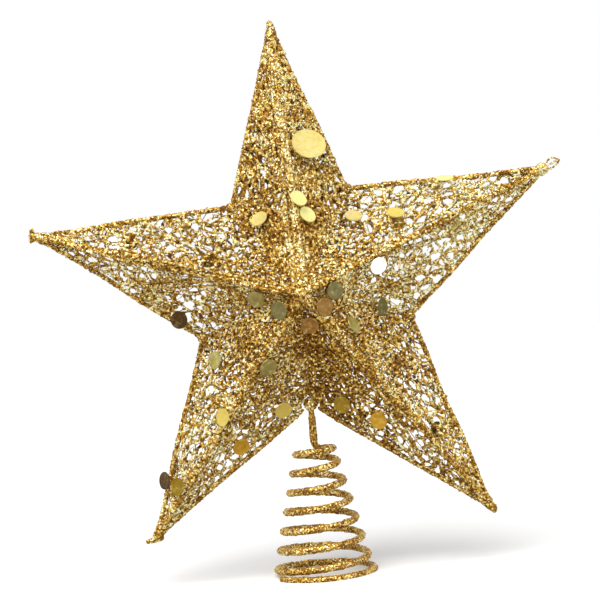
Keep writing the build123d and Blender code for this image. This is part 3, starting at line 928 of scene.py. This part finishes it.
def spring_places():
    """Middle of the spring's wire: its turns, the curl to the axis and the bend up into the stem."""
    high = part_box("conical_spring")[1]
    foot = SPRING_WIRE / 2 - FOOT_FLAT
    neck_height = high.z - SPRING_WIRE - NECK_BEND
    whole = eased(SPRING_TURNS, *rise_turns) - eased(SPRING_TURNS, *level_turns)
    places = []
    for i in range(round(SPRING_TURNS * STEPS_PER_TURN) + 1):
        turn = i / STEPS_PER_TURN
        radius = SPRING_RADIUS - SPRING_TAPER * (turn - eased(turn, *level_turns))
        angle = math.radians(FOOT_ANGLE) + math.tau * turn
        rise = (eased(turn, *rise_turns) - eased(turn, *level_turns)) / whole
        places.append(Vector((
            radius * math.cos(angle), radius * math.sin(angle), foot + (neck_height - foot) * rise
        )))
    last = places[-1]
    neck = math.hypot(last.x, last.y)
    curl = (neck**2 - NECK_BEND**2) / (2 * neck)
    turned = math.pi - math.atan(NECK_BEND / curl)
    outwards = Vector((last.x, last.y, 0)) / neck
    pivot = last - outwards * curl
    for i in range(1, STEPS_PER_TURN // 2 + 1):
        swing = Matrix.Rotation(turned * i / (STEPS_PER_TURN // 2), 3, "Z")
        places.append(pivot + swing @ (last - pivot))
    inwards = Matrix.Rotation(turned + math.pi / 2, 3, "Z") @ outwards
    for i in range(1, STEPS_PER_TURN // 4 + 1):
        angle = math.pi / 2 * i / (STEPS_PER_TURN // 4)
        places.append(on_neck_bend(inwards, angle, last.z))
    places.append(Vector((0, 0, high.z)))
    return places


def facet_normal(tip, valley, apex):
    """Direction that a facet faces, away from the star's middle."""
    normal = (TIPS[tip] - apex).cross(VALLEYS[valley] - apex).normalized()
    return normal if normal.dot(apex - CENTRE) > 0 else -normal


def sequin_seat(tip, side, tip_share, valley_share, apex, diameter):
    """Place and direction of a sequin on a facet, over a wire or the fold at a spoke that it reaches."""
    valley = (tip - 1 + side) % POINTS
    place = apex + (TIPS[tip] - apex) * tip_share + (VALLEYS[valley] - apex) * valley_share

    def reaches(start, end, wire):
        line = (end - start).normalized()
        return line.cross(place - start).length < (diameter + wire) / 2 + SEQUIN_GAP

    skin = NET_THICKNESS / 2 + COAT
    for start, end, wire in ((apex, TIPS[tip], RIDGE_WIRE), (TIPS[tip], VALLEYS[valley], EDGE_WIRE)):
        if reaches(start, end, wire):
            skin = max(skin, wire / 2 + COAT)
    faces = [facet_normal(tip, valley, apex)]
    if reaches(apex, VALLEYS[valley], SPOKE_WIRE):
        faces.append(facet_normal((tip + 2 * side - 1) % POINTS, valley, apex))
    up = sum(faces, Vector()).normalized()
    seats = []
    for face in faces:
        level = up.dot(face)
        tilt = math.sqrt(max(1 - level**2, 0))
        seats.append((skin + SEQUIN_GAP + diameter / 2 * tilt - (place - apex).dot(face)) / level)
    return place + up * max(seats), up


class TOPPER_OT_stage(bpy.types.Operator):
    """Makes the camera, the lamps, the white surroundings and the floor."""

    bl_idname = "topper.stage"
    bl_label = "Stage"

    def execute(self, context):
        roll = math.radians(CAMERA_ROLL)
        right = Vector((math.cos(roll), 0, -math.sin(roll)))
        up = Vector((math.sin(roll), 0, math.cos(roll)))
        back = Vector((0, -1, 0))
        data = bpy.data.cameras.new("camera")
        data.lens = LENS
        camera = bpy.data.objects.new("camera", data)
        place = Matrix((right, up, back)).transposed().to_4x4()
        place.translation = CENTRE - right * CAMERA_LEFT - up * CAMERA_DOWN + back * CAMERA_AWAY
        camera.matrix_world = place
        context.scene.collection.objects.link(camera)
        context.scene.camera = camera

        for name, energy, angle, heading in LAMPS:
            lamp = bpy.data.lights.new(name, "SUN")
            lamp.energy = energy
            lamp.angle = math.radians(angle)
            holder = bpy.data.objects.new(name, lamp)
            holder.rotation_mode = "QUATERNION"
            holder.rotation_quaternion = Vector(heading).to_track_quat("-Z", "Y")
            context.scene.collection.objects.link(holder)

        world = bpy.data.worlds.new("white surroundings")
        context.scene.world = world
        world.use_nodes = True
        world.node_tree.nodes.clear()
        start = Socket(world.node_tree)
        light = start.node("ShaderNodeBackground", None, {
            "Color": WHITE, "Strength": SURROUNDINGS + (1 - SURROUNDINGS) * self.seen(start),
        })
        surface(start, light, "ShaderNodeOutputWorld")

        bpy.ops.mesh.primitive_circle_add(vertices=FLOOR_SIDES, radius=FLOOR_RADIUS, fill_type="NGON")
        floor = context.object
        floor.name = "floor"
        material, start = empty_material("white floor")
        seen = self.seen(start)
        shader = start.node("ShaderNodeBsdfPrincipled", None, {
            "Base Color": start.mix(seen, FLOOR_LIT, FLOOR_SEEN), "Roughness": FLOOR_ROUGHNESS,
            "Specular IOR Level": 0.0, "Emission Color": start.mix(seen, BLACK, FLOOR_GLOW),
            "Emission Strength": 1.0,
        })
        surface(start, shader)
        floor.data.materials.append(material)
        context.scene.view_settings.view_transform = "Standard"
        return {"FINISHED"}

    def seen(self, start):
        """1 for rays from the camera, off metal or through glass, and 0 for the rest."""
        camera, gloss, glass = (start.node("ShaderNodeLightPath", None, None, name) for name in (
            "Is Camera Ray", "Is Glossy Ray", "Is Transmission Ray"
        ))
        return start.node("ShaderNodeMath", {"operation": "ADD", "use_clamp": True}, {
            0: camera + gloss, 1: glass,
        })


class TOPPER_OT_nets(bpy.types.Operator):
    """Makes the net of cords on each of the twenty facets."""

    bl_idname = "topper.nets"
    bl_label = "Nets"

    def execute(self, context):
        material = glitter_material("net glitter", context.scene.topper_colours)
        sizes = context.scene.topper_sizes
        for i, name in enumerate(TIP_NAMES):
            for side, side_name in enumerate(SIDE_NAMES[i]):
                for face, apex in APEXES.items():
                    node = f"{face}_{name}_{side_name}_net"
                    draw = random.Random(node)
                    threads = net_threads(i, (i - 1 + side) % POINTS, apex, draw, sizes.cord, sizes.fibre)
                    # Each net's paleness is painted light and shade, and the amount added at the centre is
                    # painted shade.
                    coated(
                        f"{node}_cords", threads, material, node,
                        pale=NET_PAINTED_LIGHT[i][side], core=CORE_PAINTED_SHADE[i][side],
                    )
        return {"FINISHED"}


class TOPPER_OT_wires(bpy.types.Operator):
    """Makes the coated wires of the star and the welds that gather them."""

    bl_idname = "topper.wires"
    bl_label = "Wires"

    def execute(self, context):
        material = glitter_material("wire glitter", context.scene.topper_colours)

        def wire(node, threads, pale=WIRE_PALENESS):
            coated(f"{node}_coat", threads, material, node, WIRE_LUMPS, pale=pale)

        for i, name in enumerate(TIP_NAMES):
            for side, side_name in enumerate(SIDE_NAMES[i]):
                node = f"{name}_point_{side_name}_edge"
                draw = random.Random(node)
                valley = (i - 1 + side) % POINTS
                line = wavy(from_valley(valley, gathered(i)), gathered(i), WIRE_STRAY, draw, EDGE_STEP)
                wire(node, [(line, thinned(line, EDGE_WIRE / 2 - COAT, valley))])
            for face, apex in APEXES.items():
                node = f"{face}_{name}_ridge"
                pale = TOP_RIDGE_PALENESS if i == 0 else WIRE_PALENESS
                wire(node, ridge_threads(i, apex, random.Random(node)), pale)
        for face, apex in APEXES.items():
            draw = random.Random(face)
            wire(f"{face}_valley_spokes", [
                (wavy(from_valley(i, apex), apex, WIRE_STRAY, draw), SPOKE_WIRE / 2 - COAT)
                for i in range(POINTS)
            ])
            arms = [
                (wavy(apex, apex + (tip - apex).normalized() * HUB_ARM, WIRE_STRAY, draw), HUB_ARM_RADIUS)
                for tip in TIPS
            ]
            inwards = (CENTRE - apex).normalized()
            wire(f"{face}_hub", [*arms, ([apex, apex + inwards * HUB_DEPTH], HUB_RADIUS)])
        draw = random.Random("welds")
        reach = Vector((0, WELD_REACH, 0))
        wire("valley_welds", [
            (wavy(place - reach, place + reach, WELD_STRAY, draw), WELD_RADIUS)
            for i, place in enumerate(VALLEYS) if i != STEM_VALLEY
        ])
        return {"FINISHED"}


class TOPPER_OT_tips(bpy.types.Operator):
    """Makes the bound ends of the five points."""

    bl_idname = "topper.tips"
    bl_label = "Tips"

    def execute(self, context):
        material = glitter_material("binding glitter", context.scene.topper_colours)
        for i, name in enumerate(TIP_NAMES):
            node = f"{name}_tip_cap"
            draw = random.Random(node)
            looped = name in TIP_LOOPS
            axis = outward(TIPS[i])
            root = TIPS[i] - axis * CAP_LENGTH
            end = gathered(i) if looped else TIPS[i] - axis * CAP_SHORT
            line = wavy(root, end, WIRE_STRAY, draw, CAP_STEP)
            girths = [CAP_RADIUS - CAP_NARROWING * k / (len(line) - 1) for k in range(len(line))]
            threads = [(line, girths)]
            if name in TIP_BARS:
                reach = Vector(TIP_BARS[name])
                threads.append((wavy(end - reach, end + reach, BAR_STRAY, draw, CAP_STEP), BAR_RADIUS))
            for bulge in TIP_LOOPS.get(name, ()):
                shares = [k / LOOP_STEPS for k in range(LOOP_STEPS + 1)]
                loop = [end.lerp(TIPS[i], s) + Vector(bulge) * math.sin(math.pi * s) for s in shares]
                threads.append((loop, LOOP_RADIUS))
            coated(
                f"{node}_coat", threads, material, node, CAP_LUMPS,
                fine=LOOP_FINENESS if looped else 1.0, pale=LOOP_PALENESS if looped else 0,
            )
        return {"FINISHED"}


class TOPPER_OT_spring(bpy.types.Operator):
    """Makes the coated spring, the stem on it and the knot that the star sways on."""

    bl_idname = "topper.spring"
    bl_label = "Spring"

    def execute(self, context):
        colours = context.scene.topper_colours
        material = glitter_material("spring glitter", colours, SPRING_SHINE, SPRING_GLINT)
        places = spring_places()
        foot = (0, 0, places[0].z)
        neck = (0, 0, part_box("conical_spring")[1].z - SPRING_WIRE)
        coated(
            "conical_spring_coat", [(places, SPRING_WIRE / 2)], material, "conical_spring",
            SPRING_LUMPS, bend=("spring", "stem", foot, neck),
            fine=SPRING_FINENESS, pale=SPRING_PALENESS, spread=SPRING_SPREAD,
        )
        ball_low, ball_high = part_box("stem_ball")
        middle = (ball_low + ball_high) / 2
        top = Vector((0, 0, middle.z))
        root = Vector((0, 0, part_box("stem")[0].z - SPRING_WIRE))
        line = [root.lerp(top, share) for share in stem_shares]
        girths = [SPRING_WIRE / 2 * share for share in stem_girth_shares]
        coated(
            "stem_coat", [(line, girths)], material, "stem", SPRING_LUMPS, body="stem",
            fine=SPRING_FINENESS, pale=STEM_PALENESS, spread=SPRING_SPREAD,
        )
        draw = random.Random("knot")
        ring = [
            Matrix.Rotation(math.tau * k / KNOT_STEPS, 3, "Z") @ Vector((KNOT_RADIUS, 0, 0))
            for k in range(KNOT_STEPS + 1)
        ]
        turns = []
        for _ in range(KNOT_TURNS):
            tilt = Vector([draw.uniform(-1, 1) for _ in range(3)]).to_track_quat("Z", "Y")
            turns.append(([middle + tilt @ place for place in ring], KNOT_WIRE))
        coated("stem_ball_coat", turns, material, "stem_ball", SPRING_LUMPS, body="ball")
        return {"FINISHED"}


def sequin_tree():
    """Places as thin dished discs, each turned by the place's own angles."""
    tree = NodeTree("sequins")
    diameter = tree.input("Diameter")
    thickness = tree.input("Thickness")
    dish = tree.input("Dish")
    material = tree.input("Material", "Material")
    maths = tree.maths
    radius = maths("MULTIPLY", diameter, 0.5)
    disc = tree.node("GeometryNodeMeshCone", {"fill_type": "TRIANGLE_FAN"}, {
        "Vertices": SEQUIN_SIDES, "Fill Segments": SEQUIN_RINGS,
        "Radius Top": maths("MULTIPLY", radius, sequin_top_share), "Radius Bottom": radius,
        "Depth": thickness,
    })
    place = tree.node("GeometryNodeInputPosition")
    flat = tree.node("ShaderNodeVectorMath", {"operation": "MULTIPLY"}, {0: place, 1: (1, 1, 0)})
    out = tree.node("ShaderNodeVectorMath", {"operation": "LENGTH"}, {0: flat}, 1)
    share = maths("POWER", maths("DIVIDE", out, radius), 2)
    lift = tree.node("ShaderNodeCombineXYZ", None, {"Z": maths("MULTIPLY", share, dish)})
    disc = tree.node("GeometryNodeSetPosition", None, {"Geometry": disc, "Offset": lift})
    turn = tree.node("GeometryNodeInputNamedAttribute", {"data_type": "FLOAT_VECTOR"}, {"Name": "turn"})
    discs = tree.node("GeometryNodeInstanceOnPoints", None, {
        "Points": tree.start.outputs[0], "Instance": disc, "Rotation": turn,
    })
    tree.end(discs, material)
    return tree


class TOPPER_OT_sequins(bpy.types.Operator):
    """Makes the round foil sequins on both faces."""

    bl_idname = "topper.sequins"
    bl_label = "Sequins"

    def execute(self, context):
        sizes = context.scene.topper_sizes
        colours = context.scene.topper_colours
        material = foil_material(colours)
        tree = sequin_tree()
        for node, face, rows, diameter in (
            ("large_sequin", "front", large_sequin_shares, sizes.large_sequin),
            ("front_sequins", "front", front_sequin_shares, sizes.sequin),
            ("back_sequins", "back", back_sequin_shares, sizes.sequin),
        ):
            draw = random.Random(node)
            apex = APEXES[face]
            places = []
            turns = []
            tints = []
            for tip, side, tip_share, valley_share, tint, *leans in rows:
                place, up = sequin_seat(tip, side, tip_share, valley_share, apex, diameter)
                lean_right, lean_up = leans or (0, 0)
                stray = Vector([draw.uniform(-UNSTEADY, UNSTEADY) for _ in range(3)])
                facing = (up + (stray + Vector((lean_right, 0, lean_up)))).normalized()
                raised = 0 if tint == "dark" else diameter / 2 * math.sqrt(max(1 - facing.dot(up) ** 2, 0))
                places.append(place + up * raised)
                turns += facing.to_track_quat("Z", "Y").to_euler()[:]
                tints += (*getattr(colours, f"sequin_{tint}"), PAINTED_HIGHLIGHTS.get(tint, 0))
            mesh = bpy.data.meshes.new(node)
            mesh.from_pydata(places, [], [])
            mesh.attributes.new("turn", "FLOAT_VECTOR", "POINT").data.foreach_set("vector", turns)
            mesh.attributes.new("tint", "FLOAT_COLOR", "POINT").data.foreach_set("color", tints)
            obj = bpy.data.objects.new(f"{node}_foil", mesh)
            context.scene.collection.objects.link(obj)
            tree.run(obj, {
                "Diameter": diameter, "Thickness": sizes.sequin_thickness, "Dish": sizes.sequin_dish,
                "Material": material,
            })
            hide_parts(node)
            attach(obj, "star")
        return {"FINISHED"}


class TOPPER_PT_panel(bpy.types.Panel):
    """Lists the sizes, the colours and the operators."""

    bl_idname = "TOPPER_PT_panel"
    bl_label = "Glittered star"
    bl_space_type = "VIEW_3D"
    bl_region_type = "UI"
    bl_category = "Star"

    def draw(self, context):
        for group in (context.scene.topper_sizes, context.scene.topper_colours):
            box = self.layout.box()
            for name in group.__annotations__:
                box.prop(group, name)
        for operator in OPERATORS:
            self.layout.operator(operator.bl_idname)


OPERATORS = (
    TOPPER_OT_stage, TOPPER_OT_nets, TOPPER_OT_wires, TOPPER_OT_tips, TOPPER_OT_spring, TOPPER_OT_sequins,
)
CLASSES = (TopperSizes, TopperColours, *OPERATORS, TOPPER_PT_panel)
STRANDS = strand_tree()


def register():
    """Registers the classes and gives the scene its sizes and colours."""
    for kind in CLASSES:
        bpy.utils.register_class(kind)
    bpy.types.Scene.topper_sizes = PointerProperty(type=TopperSizes)
    bpy.types.Scene.topper_colours = PointerProperty(type=TopperColours)


def unregister():
    """Takes away what register added."""
    del bpy.types.Scene.topper_colours
    del bpy.types.Scene.topper_sizes
    for kind in reversed(CLASSES):
        bpy.utils.unregister_class(kind)


def main():
    """Makes every piece."""
    register()
    bpy.ops.topper.stage()
    bpy.ops.topper.nets()
    bpy.ops.topper.wires()
    bpy.ops.topper.tips()
    bpy.ops.topper.spring()
    bpy.ops.topper.sequins()


if __name__ == "__main__":
    main()
